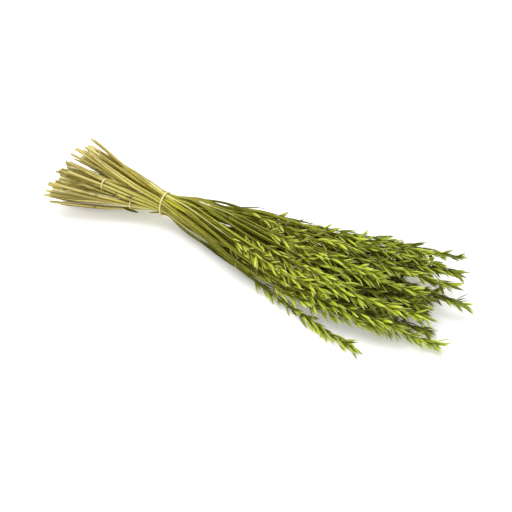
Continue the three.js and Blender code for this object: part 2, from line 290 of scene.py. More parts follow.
def add_straw(batch, route, head_from, tip, shade, random):
    """The hollow straw from its cut end, and the axis that carries the spikelets."""
    cut = route.x[0]
    xs, shares, dark = straw_rings(cut, head_from, random)
    radii = route.radius(xs) * shares
    axis = np.arange(head_from + AXIS_START, tip, AXIS_STEP)
    share = (axis - head_from) / (tip - head_from)
    axis_radii = AXIS_RADIUS["base"] * (1 - share) + AXIS_RADIUS["tip"] * share
    hole = radii[0] * HOLE_SHARE
    ring_x = np.concatenate([[cut + HOLE_DEPTH, cut, cut], xs[1:], axis])
    radii = np.concatenate([[hole * HOLE_NARROWING, hole, radii[0]], radii[1:], axis_radii])
    # Painted shade in the cut end's hole, then the joints' own darkness
    dark = np.concatenate([HOLE_PAINTED_SHADE, dark[1:], np.zeros(len(axis))])
    lean = np.zeros(len(ring_x))
    lean[1:3] = random.uniform(-CUT_SLANT, CUT_SLANT)
    flat = random.uniform(*STRAW_FLATNESS)
    corners = tube(route.at(ring_x), route.frame_at(ring_x), radii, STRAW_SIDES, lean, flat)
    along = np.repeat((ring_x - cut) / (tip - cut), STRAW_SIDES)
    faces = grid_faces(len(ring_x), STRAW_SIDES)
    across = np.repeat(dark, STRAW_SIDES)
    batch.add(corners, faces, STRAW, along=along, across=across, shade=shade)


# ---------- Shreds of sheath and blade ----------

SHRED_ACROSS = np.array([-1.0, -0.35, 0.35, 1.0])
SHRED_THICKNESS = 0.16
SHRED_STEP = 9.0
SHRED_LEAST_STEPS = 8
SHRED_OFF = 0.1  # of the straw's surface, where a strip starts
SHRED_LARGEST_CORE = 2.6  # the radius that a strip wraps, at most
SHRED_TWIST = 1.5  # either way, over its length
SHRED_WAVES = (5, 12)
WAVE_SHARE = 0.25  # of how far the strip peels off
FLAT_CURL = 2.4  # a flattened strip's curl radius, for its half width
LARGEST_WRAP = 2.4  # either way round the straw, in radians
TORN = 1.6  # how uneven a torn end is, for the strip's half width
SHRED_SHADES = 0.6  # the spread of their shades
BAND_MARGIN = 5.0  # a strip begins this far past a band that holds its stalk

# Towards the cut end, towards the head, and inside the head. Ranges are (from, to).
TO_CUT = {"count": 3, "start": (0, 60), "past_cut": (-5, 22), "longest": 130, "shortest": 25}
TO_CUT_SHAPE = {"half_width": (1.4, 2.9), "peel": (0.5, 5), "taper": 0.25}
TO_HEAD = {"count": 6, "start": (0, 130), "length": (90, 210)}
TO_HEAD_SHAPE = {"half_width": (0.9, 2.3), "peel": (1, 7), "taper": 0.8}
BARE_STEM = {"half_width": 0.6, "peel": (3, 10), "shade": (0.7, 1)}
# The dark blades inside a head are partly painted shade: they darken the gaps among its spikelets.
IN_HEAD = {"count": 2, "start": (-30, 80), "length": (80, 140), "tip_room": 45}
IN_HEAD_SHAPE = {"half_width": (1.8, 3.2), "peel": (0, 5), "shade": (-1, -0.2), "taper": 0.9}


def add_shred(batch, route, start, end, half_width, peel, taper, shade, random):
    """A strip that wraps its straw at start, then leaves it and flattens towards end."""
    core = min(route.radius(start) * SHEATH_SHARE, SHRED_LARGEST_CORE)
    radius = float(core) + SHRED_OFF
    steps = max(SHRED_LEAST_STEPS, int(abs(end - start) / SHRED_STEP))
    share = np.linspace(0, 1, steps)
    x = start + (end - start) * share
    along, side, up = route.frame_at(x)
    twist = random.uniform(0, 2 * np.pi) + random.uniform(-SHRED_TWIST, SHRED_TWIST) * share
    turn = twist[:, None]
    outward = np.cos(turn) * side + np.sin(turn) * up
    sideways = np.cos(turn) * up - np.sin(turn) * side
    wave = WAVE_SHARE * peel * np.sin(share * random.uniform(*SHRED_WAVES)) * share
    off = radius + peel * share**1.3 + wave
    curl = radius + (FLAT_CURL * half_width - radius) * np.minimum(1, 1.6 * share)
    width = half_width * np.minimum(1, 0.35 + 2.2 * share) * (1 - taper * share**5)
    bend = np.minimum(width / curl, LARGEST_WRAP)
    across = np.concatenate([SHRED_ACROSS, SHRED_ACROSS[::-1]])
    layer = np.repeat([0.0, -SHRED_THICKNESS], len(SHRED_ACROSS))
    angle = bend[:, None] * across[None, :]
    out = off[:, None] + (curl[:, None] + layer[None, :]) * np.cos(angle) - curl[:, None]
    beside = (curl[:, None] + layer[None, :]) * np.sin(angle)
    points = route.at(x)[:, None, :] + out[:, :, None] * outward[:, None, :]
    points = points + beside[:, :, None] * sideways[:, None, :]
    torn = random.uniform(-1, 1, len(SHRED_ACROSS)) * half_width * TORN
    points[-1] += np.concatenate([torn, torn[::-1]])[:, None] * along[-1]
    place = (x - route.x[0]) / (route.x[-1] - route.x[0])
    faces = grid_faces(steps, len(across))
    marks = np.repeat(place, len(across)), np.tile(across, steps)
    batch.add(points.reshape(-1, 3), faces, SHRED, *marks, shade)


def add_shreds_to_cut(batch, route, first_band, random):
    """Torn strips from the band nearest the cut end to that end."""
    for _ in range(TO_CUT["count"]):
        start = first_band - BAND_MARGIN - random.uniform(*TO_CUT["start"])
        end = max(route.x[0] + random.uniform(*TO_CUT["past_cut"]), start - TO_CUT["longest"])
        if start - end < TO_CUT["shortest"]:
            continue
        half_width = random.uniform(*TO_CUT_SHAPE["half_width"])
        shade = np.clip(random.normal(0, SHRED_SHADES), -1, 1)
        peel = random.uniform(*TO_CUT_SHAPE["peel"])
        taper = TO_CUT_SHAPE["taper"]
        add_shred(batch, route, start, end, half_width, peel, taper, shade, random)


def add_shreds_to_head(batch, route, neck, random):
    """Strips from the neck towards the head. The first is a dry stem that bore no grain."""
    for j in range(TO_HEAD["count"]):
        start = neck + BAND_MARGIN + random.uniform(*TO_HEAD["start"])
        end = start + random.uniform(*TO_HEAD["length"])
        if j == 0:
            half_width = BARE_STEM["half_width"]
            peel = random.uniform(*BARE_STEM["peel"])
            shade = random.uniform(*BARE_STEM["shade"])
        else:
            half_width = random.uniform(*TO_HEAD_SHAPE["half_width"])
            peel = random.uniform(*TO_HEAD_SHAPE["peel"])
            shade = np.clip(random.normal(0, SHRED_SHADES), -1, 0.8)
        taper = TO_HEAD_SHAPE["taper"]
        add_shred(batch, route, start, end, half_width, peel, taper, shade, random)


def add_shreds_in_head(batch, route, head_from, random):
    """Dark blades among the spikelets, partly real blades and partly painted shade that darkens
    the gaps in the head.
    """
    for _ in range(IN_HEAD["count"]):
        start = head_from + random.uniform(*IN_HEAD["start"])
        end = min(start + random.uniform(*IN_HEAD["length"]), route.x[-1] - IN_HEAD["tip_room"])
        half_width = random.uniform(*IN_HEAD_SHAPE["half_width"])
        peel = random.uniform(*IN_HEAD_SHAPE["peel"])
        shade = random.uniform(*IN_HEAD_SHAPE["shade"])
        taper = IN_HEAD_SHAPE["taper"]
        add_shred(batch, route, start, end, half_width, peel, taper, shade, random)


# ---------- Spikelets ----------

TEMPLATE_COUNT = 14
TEMPLATE_LENGTH = 24.0
TEMPLATE_SIZES = (0.94, 1.06)
OPEN_SHARE = 0.3  # of the spikelets, whose two scales gape
GAPING = (8, 14)  # degrees between a scale and the middle
SHUT = (1, 6)
GLUME_HALF_WIDTH = (0.075, 0.102)  # for the template's length
SHORTER_GLUME = (0.84, 0.97)  # for the longer one
GLUME_OPENS = (0.6, 1.2)  # of its spikelet's opening
GLUME_CURL = (0.3, 0.9)
GLUME_LEAST_HALF_WIDTH = 0.09
GLUME_BASE_LIFT = 0.15  # of its foot, off the middle
GLUME_HOLLOW = 0.62  # how deep a scale is, for its half width
GLUME_THICKNESS = 0.3  # the same, at its middle
FLORET_REACH = (0.66, 0.84)  # for the template's length
FLORET_RADIUS = 1.05
FLORET_START = 1.0
FLORET_TILT = 0.5  # either way, of its spikelet's opening
GLUME_AT = np.array([0.0, 0.1, 0.28, 0.48, 0.68, 0.86, 1.0])
GLUME_WIDTH = np.array([0.25, 0.6, 0.93, 1.0, 0.78, 0.38, 0.05])
OUTER = np.array([-1.0, -0.5, 0.0, 0.5, 1.0])
INNER = np.array([0.0])
FLORET_AT = np.array([0.0, 0.15, 0.45, 0.8, 1.0])
FLORET_WIDTH = np.array([0.3, 0.85, 1.0, 0.5, 0.08])


def glume(length, half_width, sign, opening, curl):
    """A boat-shaped papery scale with its hollow side inwards, and where its points are."""
    x = GLUME_AT * length
    w = np.maximum(GLUME_WIDTH * half_width, GLUME_LEAST_HALF_WIDTH)
    lift = GLUME_BASE_LIFT + np.tan(opening) * x + curl * np.sin(np.pi * GLUME_AT)
    y = np.concatenate([OUTER, INNER])
    hollow = GLUME_HOLLOW * (1 - np.abs(y) ** 1.8)
    hollow[len(OUTER) :] -= GLUME_THICKNESS
    points = np.empty((len(x), len(y), 3))
    points[:, :, 0] = x[:, None]
    points[:, :, 1] = w[:, None] * y[None, :]
    points[:, :, 2] = sign * (lift[:, None] + w[:, None] * hollow[None, :])
    faces = grid_faces(len(x), len(y))
    if sign > 0:
        faces = [rows[:, ::-1] for rows in faces]
    across = np.tile(y, len(x))
    return points.reshape(-1, 3), faces, np.repeat(GLUME_AT, len(y)), across


def floret(length, radius, tilt):
    """A slim grain in its husk, which shows between the two scales."""
    sides = 5
    x = FLORET_START + FLORET_AT * length
    middles = np.stack([x, 0 * x, np.tan(tilt) * x], axis=1)
    ahead = np.tile([1.0, 0.0, 0.0], (len(x), 1))
    points = tube(middles, frame_along(ahead), FLORET_WIDTH * radius, sides)
    faces = grid_faces(len(x), sides)
    return points, faces, np.repeat(FLORET_AT, sides), np.zeros(len(points))


def spikelet_template(random):
    """One spikelet's parts, each a tuple of points, faces, along, across and kind."""
    length = TEMPLATE_LENGTH * random.uniform(*TEMPLATE_SIZES)
    gapes = random.uniform(0, 1) < OPEN_SHARE
    opening = np.radians(random.uniform(*(GAPING if gapes else SHUT)))
    half_width = TEMPLATE_LENGTH * random.uniform(*GLUME_HALF_WIDTH)
    parts = []
    for sign, size in ((1, 1.0), (-1, random.uniform(*SHORTER_GLUME))):
        opens = opening * random.uniform(*GLUME_OPENS)
        shape = glume(length * size, half_width, sign, opens, random.uniform(*GLUME_CURL))
        parts.append((*shape, GLUME))
    reach = TEMPLATE_LENGTH * random.uniform(*FLORET_REACH)
    tilt = opening * random.uniform(-FLORET_TILT, FLORET_TILT)
    parts.append((*floret(reach, FLORET_RADIUS, tilt), FLORET))
    return parts


def rotation(ahead, facing, bend):
    """A matrix that turns +X to ahead and +Z towards facing, then rolls by bend."""
    x = unit(ahead)
    y = unit(np.cross(facing, x))
    z = np.cross(x, y)
    c, s = math.cos(bend), math.sin(bend)
    return np.array([x, c * y + s * z, c * z - s * y])


def add_branch(batch, start, end, ahead, radius, shade):
    """The fine curved branch from a head's axis to one spikelet."""
    sides, steps = 3, 4
    t = np.linspace(0, 1, steps)[:, None]
    reach = 0.4 * np.linalg.norm(end - start)
    handles = start + ahead * reach, end - ahead * reach
    middles = (1 - t) ** 3 * start + t**3 * end
    middles += 3 * t * (1 - t) ** 2 * handles[0] + 3 * t**2 * (1 - t) * handles[1]
    frames = frame_along(np.gradient(middles, axis=0))
    points = tube(middles, frames, np.full(steps, radius), sides)
    batch.add(points, grid_faces(steps, sides), STRAW, along=0.9, shade=shade)


def add_spikelet(batch, parts, place, turn, scale, shade):
    for points, faces, along, across, kind in parts:
        batch.add((points * scale) @ turn + place, faces, kind, along, across, shade)


HEAD_FROM_RADIUS = 1.9  # a CAD solid's radius where its grain head begins
FIRST_SPIKELET = 14  # past where the head begins
SPIKELET_SPACING = 3.2  # along a head, for one spikelet
CROWDED_TO_TIP = 0.78  # under 1, the spikelets stand closer towards the tip
SPIKELET_LENGTH = (17.0, 26.0)
TERMINAL_ROOM = 0.8 * SPIKELET_LENGTH[1]  # from a head's last spikelet to its solid's tip
PLUMPNESS = (0.62, 1.12)  # of a spikelet, for its length
TURN_EACH = 2.4  # round the head from one spikelet to the next, in radians
TURN_STRAY = 0.5
FOOT_SHARE = 0.42  # of the solid's radius, where a spikelet stands on its branch
FOOT_STRAY = (0.5, 1.4)
FOOT_AHEAD = 6  # where along the head that radius is read
LEAST_REACH = 4.0  # of a spikelet's tip from its head's axis, whatever the solid's radius
REACH_STRAY = (0.7, 1.4)
SPLAY = (3, 8)  # degrees outwards, as a mean and a spread
SPLAYED_SHARE = 0.2  # of the spikelets stand well off their head
SPLAYED_MORE = (10, 24)  # degrees
SWING_SPREAD = 17  # degrees to the side
SAG = np.array([0.0, -0.25, -0.1])  # how the spikelets lean, for 1 forward
SAG_STRAY = (0, 1.6)
ROLL_SPREAD = 0.7
TONE_OF_STALK = 0.42  # how much a spikelet's shade follows its stalk's
TONE_SPREAD = 0.34
PAINTED_SHADING_OF_OPENNESS = 1.9  # painted shading: how much a spikelet's colour darkens where little light reaches its place, and brightens where much does
MIDDLING_OPENNESS = 0.55
BRANCH_LENGTH = (9, 24)  # along the head's axis
BRANCH_RADIUS = 0.26
BRANCH_OVERLAP = 0.3  # how far it goes into its spikelet


def add_head(batch, route, head_from, tip, shade, crowd, random):
    """Spikelets all round a head's axis, pointing forward, out to the solid's surface."""
    first, last = head_from + FIRST_SPIKELET, tip - TERMINAL_ROOM
    count = int((last - first) / SPIKELET_SPACING)
    for j in range(count + 1):
        terminal = j == count
        size = random.uniform(*SPIKELET_LENGTH)
        share = ((j + random.uniform(0, 1)) / count) ** CROWDED_TO_TIP
        x = last if terminal else first + (last - first) * share
        angle = TURN_EACH * j + random.uniform(-TURN_STRAY, TURN_STRAY)
        middle = route.at(x)[0]
        ahead, side, up = (v[0] for v in route.frame_at(x))
        outward = math.cos(angle) * side + math.sin(angle) * up
        foot = FOOT_SHARE * route.radius(x + FOOT_AHEAD)
        near = 0.0 if terminal else foot * random.uniform(*FOOT_STRAY)
        reach = max(LEAST_REACH, float(route.radius(min(x + size, tip))))
        far = 0.0 if terminal else reach * random.uniform(*REACH_STRAY)
        splay = math.atan2(far - near, size) + math.radians(random.normal(*SPLAY))
        if random.uniform(0, 1) < SPLAYED_SHARE and not terminal:
            splay += math.radians(random.uniform(*SPLAYED_MORE))
        swing = math.radians(random.normal(0, SWING_SPREAD))
        sideways = np.cross(ahead, outward)
        direction = ahead + math.tan(splay) * outward + math.tan(swing) * sideways
        direction = direction + SAG * (0 if terminal else random.uniform(*SAG_STRAY))
        place = middle + near * outward
        facing = outward + 0.01 * UP  # never quite along the direction
        turn = rotation(direction, facing, random.normal(0, ROLL_SPREAD))
        # Painted shading: spikelets deep in the crowded bunch are darkened in colour and those at
        # its outside brightened, as light and shade would do.
        light = crowd.openness(place + 0.5 * size * unit(direction)) - MIDDLING_OPENNESS
        tone_with_painted_shading = TONE_OF_STALK * shade + random.normal(0, TONE_SPREAD) + PAINTED_SHADING_OF_OPENNESS * light
        parts = TEMPLATES[random.integers(len(TEMPLATES))]
        plump = random.uniform(*PLUMPNESS)
        scale = size / TEMPLATE_LENGTH * np.array([1, plump, plump])
        add_spikelet(batch, parts, place, turn, scale, np.clip(tone_with_painted_shading, -1, 1))
        if not terminal:
            start = route.at(x - random.uniform(*BRANCH_LENGTH))[0]
            end = place + BRANCH_OVERLAP * unit(direction)
            add_branch(batch, start, end, ahead, BRANCH_RADIUS, shade)


# ---------- Materials ----------


class Nodes:
    """A material's node tree, with short calls to add and join nodes."""

    def __init__(self, name):
        self.material = bpy.data.materials.new(name)
        self.material.use_nodes = True
        self.tree = self.material.node_tree
        self.bsdf = self.tree.nodes["Principled BSDF"]

    def add(self, kind, **values):
        node = self.tree.nodes.new(kind)
        for key, value in values.items():
            setattr(node, key, value)
        return node

    def link(self, source, target):
        self.tree.links.new(source, target)

    def attribute(self, name):
        return self.add("ShaderNodeAttribute", attribute_name=name).outputs["Fac"]

    def ramp(self, value, stops):
        node = self.add("ShaderNodeValToRGB")
        ramp = node.color_ramp
        for _ in range(len(stops) - 2):
            ramp.elements.new(0.5)
        for element, (position, colour) in zip(ramp.elements, stops):
            element.position = position
            element.color = (*colour, 1.0)
        self.link(value, node.inputs["Fac"])
        return node.outputs["Color"]

    def math(self, operation, a, b=None):
        node = self.add("ShaderNodeMath", operation=operation)
        for socket, value in zip(node.inputs, (a, b)):
            if isinstance(value, (int, float)):
                socket.default_value = value
            elif value is not None:
                self.link(value, socket)
        return node.outputs[0]

    def spread(self, value, low, high, to_low, to_high):
        node = self.add("ShaderNodeMapRange")
        for socket, number in zip(node.inputs[1:5], (low, high, to_low, to_high)):
            socket.default_value = number
        self.link(value, node.inputs[0])
        return node.outputs[0]

    def mix(self, factor, a, b, blend="MIX"):
        node = self.add("ShaderNodeMix", data_type="RGBA", blend_type=blend)
        for socket, value in zip((node.inputs[0], node.inputs[6], node.inputs[7]), (factor, a, b)):
            if isinstance(value, (int, float)):
                socket.default_value = value
            elif isinstance(value, tuple):
                socket.default_value = (*value, 1.0)
            else:
                self.link(value, socket)
        return node.outputs[2]

    def noise(self, scale, detail=2.0, stretch=(1, 1, 1)):
        place = self.add("ShaderNodeTexCoord").outputs["Object"]
        mapping = self.add("ShaderNodeMapping")
        mapping.inputs["Scale"].default_value = stretch
        self.link(place, mapping.inputs["Vector"])
        node = self.add("ShaderNodeTexNoise")
        node.inputs["Scale"].default_value = scale
        node.inputs["Detail"].default_value = detail
        self.link(mapping.outputs["Vector"], node.inputs["Vector"])
        return node.outputs["Fac"]

    def place_along(self):
        """How far along the bunch a point is, in metres from the frame's origin."""
        place = self.add("ShaderNodeTexCoord").outputs["Object"]
        split = self.add("ShaderNodeSeparateXYZ")
        self.link(place, split.inputs[0])
        return split.outputs["X"]

    def brightened(self, colour, value):
        node = self.add("ShaderNodeHueSaturation")
        self.link(colour, node.inputs["Color"])
        self.link(value, node.inputs["Value"])
        return node.outputs["Color"]

    def finish(self, colour, roughness, height=None, strength=0.3, depth=0.0002, **values):
        self.link(colour, self.bsdf.inputs["Base Color"])
        if isinstance(roughness, float):
            self.bsdf.inputs["Roughness"].default_value = roughness
        else:
            self.link(roughness, self.bsdf.inputs["Roughness"])
        if height is not None:
            bump = self.add("ShaderNodeBump")
            bump.inputs["Strength"].default_value = strength
            bump.inputs["Distance"].default_value = depth
            self.link(height, bump.inputs["Height"])
            self.link(bump.outputs["Normal"], self.bsdf.inputs["Normal"])
        for name, value in values.items():
            self.bsdf.inputs[name.replace("_", " ")].default_value = value
        return self.material


OLIVE_CAST = (1.08, 0.97, 1.5)  # on the scales nearest the neck
GREEN_CAST = (0.97, 1.03, 1.15)  # on those at the tips
BLOTCH_COLOUR = (0.16, 0.12, 0.03)
# The colour of dark joints, and of the painted shade in the cut end's hole
JOINT_AND_HOLE_SHADE_COLOUR = (0.09, 0.065, 0.02)
MOTTLE_COLOUR = (0.50, 0.47, 0.09)


def straw_material():
    """Dry straw: tan at the cut end, olive past the neck, with fine lengthwise streaks."""
    n = Nodes("oat_straw")
    along, shade, dark = n.attribute("along"), n.attribute("shade"), n.attribute("across")
    green = n.ramp(
        along,
        [
            (0.0, (0.60, 0.51, 0.15)),
            (0.2, (0.57, 0.50, 0.10)),
            (0.3, (0.47, 0.44, 0.05)),
            (0.42, (0.33, 0.32, 0.025)),
            (0.7, (0.28, 0.30, 0.02)),
            (1.0, (0.34, 0.37, 0.04)),
        ],
    )
    pale = n.ramp(
        along,
        [
            (0.0, (0.84, 0.76, 0.38)),
            (0.3, (0.74, 0.68, 0.26)),
            (0.55, (0.60, 0.56, 0.17)),
            (1.0, (0.48, 0.49, 0.08)),
        ],
    )
    unripe = n.ramp(
        along,
        [
            (0.0, (0.37, 0.36, 0.09)),
            (0.2, (0.34, 0.34, 0.05)),
            (0.45, (0.24, 0.26, 0.018)),
            (1.0, (0.26, 0.29, 0.02)),
        ],
    )
    colour = n.mix(n.spread(shade, 0.1, 0.9, 0.0, 1.0), green, pale)
    colour = n.mix(n.spread(shade, -0.2, -0.75, 0.0, 1.0), colour, unripe)
    streak = n.noise(1.0, 3.0, (45, 1700, 1700))
    colour = n.brightened(colour, n.spread(streak, 0.25, 0.75, 0.72, 1.22))
    blotch = n.noise(26.0, 3.0)
    colour = n.mix(n.spread(blotch, 0.56, 0.72, 0.0, 0.45), colour, BLOTCH_COLOUR)
    # Darkens the joints, which are dark, and paints shade into the hole at the cut end.
    colour = n.mix(n.spread(dark, 0.0, 1.0, 0.0, 0.8), colour, JOINT_AND_HOLE_SHADE_COLOUR)
    roughness = n.spread(streak, 0.3, 0.7, 0.42, 0.62)
    return n.finish(colour, roughness, streak, 0.35, Specular_IOR_Level=0.3)


def shred_material():
    """Old sheath and blade: pale and tan at the cut ends, dark olive among the heads."""
    n = Nodes("oat_shred")
    along, across, shade = n.attribute("along"), n.attribute("across"), n.attribute("shade")
    dull = n.ramp(
        along,
        [
            (0.0, (0.30, 0.22, 0.04)),
            (0.22, (0.37, 0.30, 0.04)),
            (0.32, (0.24, 0.235, 0.010)),
            (0.55, (0.10, 0.107, 0.003)),
            (1.0, (0.09, 0.10, 0.004)),
        ],
    )
    light = n.ramp(
        along,
        [
            (0.0, (0.78, 0.68, 0.27)),
            (0.22, (0.70, 0.62, 0.17)),
            (0.34, (0.46, 0.44, 0.04)),
            (0.6, (0.30, 0.31, 0.02)),
            (1.0, (0.28, 0.30, 0.02)),
        ],
    )
    colour = n.mix(n.spread(shade, -0.7, 0.9, 0.0, 1.0), dull, light)
    rib = n.math("SINE", n.math("MULTIPLY", across, 19.0))
    streak = n.noise(1.0, 3.0, (40, 1400, 1400))
    colour = n.brightened(colour, n.spread(streak, 0.3, 0.7, 0.6, 1.35))
    colour = n.brightened(colour, n.spread(rib, -1.0, 1.0, 0.85, 1.12))
    return n.finish(colour, 0.7, rib, 0.35, 0.0001, Specular_IOR_Level=0.2)


def husk_material(name, stops, bright, dim, roughness):
    """A papery scale: darker at its base, pale at its tip, with fine nerves along it."""
    n = Nodes(name)
    along, across, shade = n.attribute("along"), n.attribute("across"), n.attribute("shade")
    colour = n.ramp(along, stops)
    toward_tips = n.spread(n.place_along(), -0.08, 0.16, 0.0, 1.0)
    colour = n.mix(1.0, colour, n.mix(toward_tips, OLIVE_CAST, GREEN_CAST), "MULTIPLY")
    nerve = n.math("SINE", n.math("MULTIPLY", across, 16.0))
    colour = n.brightened(colour, n.spread(nerve, -1.0, 1.0, 0.86, 1.12))
    # The shade attribute carries each spikelet's random tone and, on the scales, painted shading
    # from how crowded its place is.
    colour = n.brightened(colour, n.spread(shade, -1.0, 1.0, dim, bright))
    mottle = n.noise(150.0, 2.0)
    colour = n.mix(n.spread(mottle, 0.5, 0.75, 0.0, 0.3), colour, MOTTLE_COLOUR)
    return n.finish(colour, roughness, nerve, 0.25, 0.00008, Specular_IOR_Level=0.25)


def glume_material():
    stops = [
        (0.0, (0.10, 0.12, 0.003)),
        (0.25, (0.27, 0.31, 0.008)),
        (0.65, (0.41, 0.46, 0.026)),
        (0.88, (0.56, 0.58, 0.11)),
        (1.0, (0.68, 0.65, 0.30)),
    ]
    return husk_material("oat_glume", stops, 1.42, 0.22, 0.5)


def floret_material():
    stops = [
        (0.0, (0.17, 0.19, 0.005)),
        (0.5, (0.43, 0.47, 0.04)),
        (1.0, (0.60, 0.58, 0.18)),
    ]
    return husk_material("oat_floret", stops, 1.25, 0.25, 0.55)


def leaf_material(name, base, edge, root):
    """A dry blade: one colour along its rib, one at its edges, and one where it starts."""
    n = Nodes(name)
    along, across = n.attribute("along"), n.attribute("across")
    rib = n.math("SINE", n.math("MULTIPLY", across, 22.0))
    colour = n.mix(n.math("ABSOLUTE", across), base, edge)
    colour = n.mix(n.spread(along, 0.1, 0.6, 0.0, 1.0), root, colour)
    streak = n.noise(1.0, 3.0, (30, 700, 700))
    colour = n.brightened(colour, n.spread(streak, 0.25, 0.75, 0.7, 1.25))
    return n.finish(colour, 0.65, rib, 0.4, 0.0001, Specular_IOR_Level=0.25)


def elastic_material():
    n = Nodes("elastic")
    grain = n.noise(900.0, 2.0)
    colour = n.ramp(grain, [(0.3, (0.72, 0.64, 0.30)), (0.7, (0.82, 0.75, 0.42))])
    return n.finish(colour, 0.5, grain, 0.2)


# ---------- Leaves ----------

LEAF_BREADTH = 1.6  # of a long blade, as a share of its CAD solid's
SCRAP_BREADTH = 1.1  # the same for a short scrap
LONG_LEAF = 90.0
LEAF_SECTIONS = 40
LEAF_ACROSS = np.array([-1, -0.6, -0.2, 0, 0.2, 0.6, 1, 0.6, 0.2, 0, -0.2, -0.6])
LEAF_UPPER_POINTS = 7  # of those across, on the blade's upper side
LEAF_FOLD = 0.35  # how far its edges stand up, for its half width
LEAF_THICKNESS = 0.09  # the same for its thickness
LEAF_SINK = 0.15  # the same for how far its rib lies under its route

def add_leaf(batch, rings, random):
    """A dry blade, folded along its rib and a little wavy, where its solid lies."""
    route = Route(rings)
    spans = []
    for ring in rings:
        middle = ring.mean(0)
        _, _, axes = np.linalg.svd(ring[:, 1:] - middle[1:])
        widest = axes[0] * (1 if axes[0][0] > 0 else -1)
        spans.append((*widest, np.abs((ring[:, 1:] - middle[1:]) @ widest).max()))
    spans = np.array(spans)
    xs = np.linspace(route.x[0], route.x[-1], LEAF_SECTIONS)
    span = np.stack([np.interp(xs, route.x, spans[:, c]) for c in range(3)], axis=1)
    widest = unit(np.stack([0 * xs, span[:, 0], span[:, 1]], axis=1))
    normal = unit(np.cross(np.tile([1.0, 0, 0], (len(xs), 1)), widest))
    share = (xs - xs[0]) / (xs[-1] - xs[0])
    outline = np.sin(np.pi * np.clip(share, 0.015, 0.985)) ** 0.55
    breadth = LEAF_BREADTH if xs[-1] - xs[0] > LONG_LEAF else SCRAP_BREADTH
    uneven = 1 + 0.08 * np.sin(share * 31 + random.uniform(0, 6))
    width = breadth * span[:, 2].max() * outline * uneven
    y = LEAF_ACROSS
    fold = LEAF_FOLD * np.abs(y) ** 1.2
    fold[LEAF_UPPER_POINTS:] -= LEAF_THICKNESS
    wave = 0.25 * np.sin(share * 17 + random.uniform(0, 6))
    beside = width[:, None] * y[None, :]
    points = route.at(xs)[:, None, :] + beside[:, :, None] * widest[:, None, :]
    lift = width[:, None] * (fold[None, :] - LEAF_SINK) + wave[:, None] * y[None, :]
    points = points + lift[:, :, None] * normal[:, None, :]
    faces = grid_faces(len(xs), len(y))
    across = np.tile(y, len(xs))
    batch.add(points.reshape(-1, 3), faces, 0, np.repeat(share, len(y)), across, 0.0)


# ---------- Bands ----------

BAND_POINTS = 96  # round a loop
BAND_SMOOTHING = 0.09  # in radians
BAND_WIDTH, BAND_THICKNESS = 2.2, 1.0
ELASTIC_SIDES = 8
ROUNDING = 0.6  # of an elastic's edges: 1 is an ellipse, near 0 a box

KNOT_SIDE = np.array([0.0, -0.85, -0.5])  # where round the band, and which way it stands out
KNOT_OUT = 0.5
KNOT_TURNS = 14
KNOT_TILTS = (0.5, -0.6)
KNOT_STRAND = 0.9
KNOT_ENDS = ((0.9, -0.5, -0.6), (-0.7, -0.4, -0.9))
KNOT_END_LENGTH = 5.0
KNOT_END_SAG = np.array([0.3, 0.0, -0.8])
KNOT_END_RADIUS = 0.5

def band_loop(node):
    """The middle line of a CAD band's loop, as points round it."""
    points = np.array([v.co for v in node.data.vertices]) / MM
    x = (points[:, 0].min() + points[:, 0].max()) / 2
    flat = np.unique(points[:, 1:].round(2), axis=0)
    middle = (flat.min(0) + flat.max(0)) / 2
    angle = np.arctan2(*(flat - middle).T[::-1])
    reach = np.linalg.norm(flat - middle, axis=1)
    turns = np.linspace(-np.pi, np.pi, BAND_POINTS + 1)[:-1]
    near = np.abs((angle[None, :] - turns[:, None] + np.pi) % (2 * np.pi) - np.pi)
    weight = np.exp(-((near / BAND_SMOOTHING) ** 2))
    radius = (weight * reach[None, :]).sum(1) / weight.sum(1)
    loop = np.stack([0 * turns + x, np.cos(turns) * radius, np.sin(turns) * radius], axis=1)
    loop[:, 1:] += middle
    return loop


def add_elastic(batch, loop, width, thickness):
    """A flat elastic with rounded edges along a loop."""
    sides = ELASTIC_SIDES
    ahead = unit(np.roll(loop, -1, 0) - np.roll(loop, 1, 0))
    broad = np.tile([1.0, 0, 0], (len(loop), 1))
    broad = unit(broad - (broad * ahead).sum(1, keepdims=True) * ahead)
    out = np.cross(ahead, broad)
    angle = 2 * np.pi * (np.arange(sides) + 0.5) / sides
    wide = np.sign(np.cos(angle)) * np.abs(np.cos(angle)) ** ROUNDING * width / 2
    thick = np.sign(np.sin(angle)) * np.abs(np.sin(angle)) ** ROUNDING * thickness / 2
    points = loop[:, None, :] + wide[None, :, None] * broad[:, None, :]
    points = points + thick[None, :, None] * out[:, None, :]
    n = len(loop)
    i = np.arange(n)[:, None] * sides
    j = np.arange(sides)[None, :]
    k = (j + 1) % sides
    following = (i + sides) % (n * sides)
    quads = np.stack([i + j, i + k, following + k, following + j], axis=-1).reshape(-1, 4)
    batch.add(points.reshape(-1, 3), [quads], 0)


def add_knot(batch, loop):
    """The small knot at the near, lower side of a band, with its two cut ends."""
    k = int(np.argmax(loop @ KNOT_SIDE))
    middle = loop[k] + KNOT_OUT * KNOT_SIDE
    turns = np.linspace(0, 2 * np.pi, KNOT_TURNS + 1)[:-1]
    for tilt in KNOT_TILTS:
        ring = [1.3 * np.cos(turns), 1.0 * np.sin(turns), 0.5 * np.sin(turns + tilt)]
        add_elastic(batch, middle + np.stack(ring, axis=1), KNOT_STRAND, KNOT_STRAND)
    steps = sides = 6
    for ahead in KNOT_ENDS:
        share = np.linspace(0, 1, steps)[:, None]
        path = middle + KNOT_END_LENGTH * share * np.array(ahead) + share**2 * KNOT_END_SAG
        frames = frame_along(np.gradient(path, axis=0))
        points = tube(path, frames, np.full(steps, KNOT_END_RADIUS), sides)
        batch.add(points, grid_faces(steps, sides), 0)


# ---------- The pieces ----------

